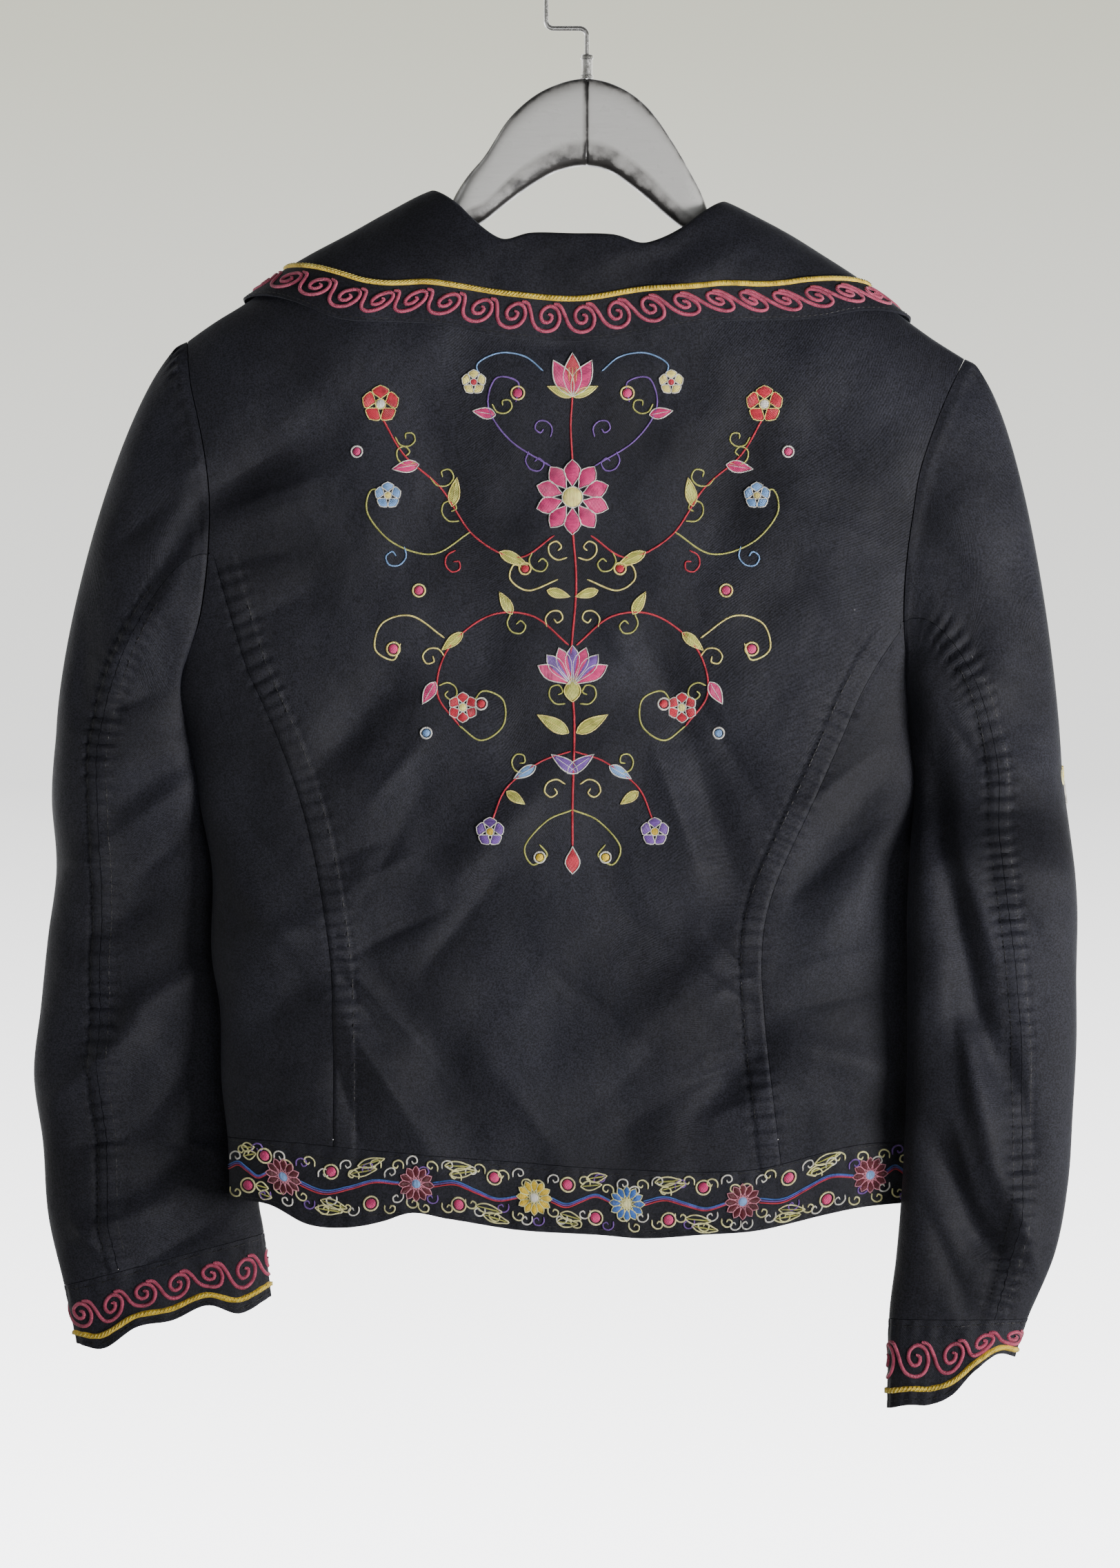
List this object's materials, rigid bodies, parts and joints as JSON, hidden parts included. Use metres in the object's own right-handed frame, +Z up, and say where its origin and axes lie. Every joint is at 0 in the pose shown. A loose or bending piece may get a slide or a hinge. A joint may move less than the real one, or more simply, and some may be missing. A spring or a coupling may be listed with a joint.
{
  "type": "blazer on a hanger",
  "caption": "Fitted cropped blazer with a wide folded collar, hem band and cuffs, hung from its back on a shaped wooden hanger with a steel hook.",
  "frame": {"origin": "inner top of the hanger's hook, where a rail or a peg holds it", "axes": "+Z up, +Y to the side that the wearer faces, so the back of the blazer faces -Y and the sleeves spread along X"},
  "size_m": [0.575, 0.1073, 0.8017],
  "materials": {
    "cloth": "matt black cotton twill with a faint sheen, embroidered in colour",
    "button": "black horn-like resin",
    "wood": "worn black lacquer",
    "steel": "plain drawn wire"
  },
  "bodies": {
    "root": {"back_middle": "cloth", "back_side_left": "cloth", "back_side_right": "cloth", "front_left": "cloth", "front_right": "cloth", "hem_band_back": "cloth", "hem_band_front_left": "cloth", "hem_band_front_right": "cloth", "sleeve_upper_left_cap": "cloth", "sleeve_upper_left_arm": "cloth", "sleeve_upper_left_forearm": "cloth", "sleeve_under_left_cap": "cloth", "sleeve_under_left_arm": "cloth", "sleeve_under_left_forearm": "cloth", "sleeve_upper_right_cap": "cloth", "sleeve_upper_right_arm": "cloth", "sleeve_upper_right_forearm": "cloth", "sleeve_under_right_cap": "cloth", "sleeve_under_right_arm": "cloth", "sleeve_under_right_forearm": "cloth", "cuff_left": "cloth", "cuff_right": "cloth", "collar": "cloth", "button_1": "button", "button_2": "button", "button_3": "button", "hanger_wood": "wood", "hanger_hook": "steel", "hook_ferrule": "steel"}
  },
  "joints": []
}
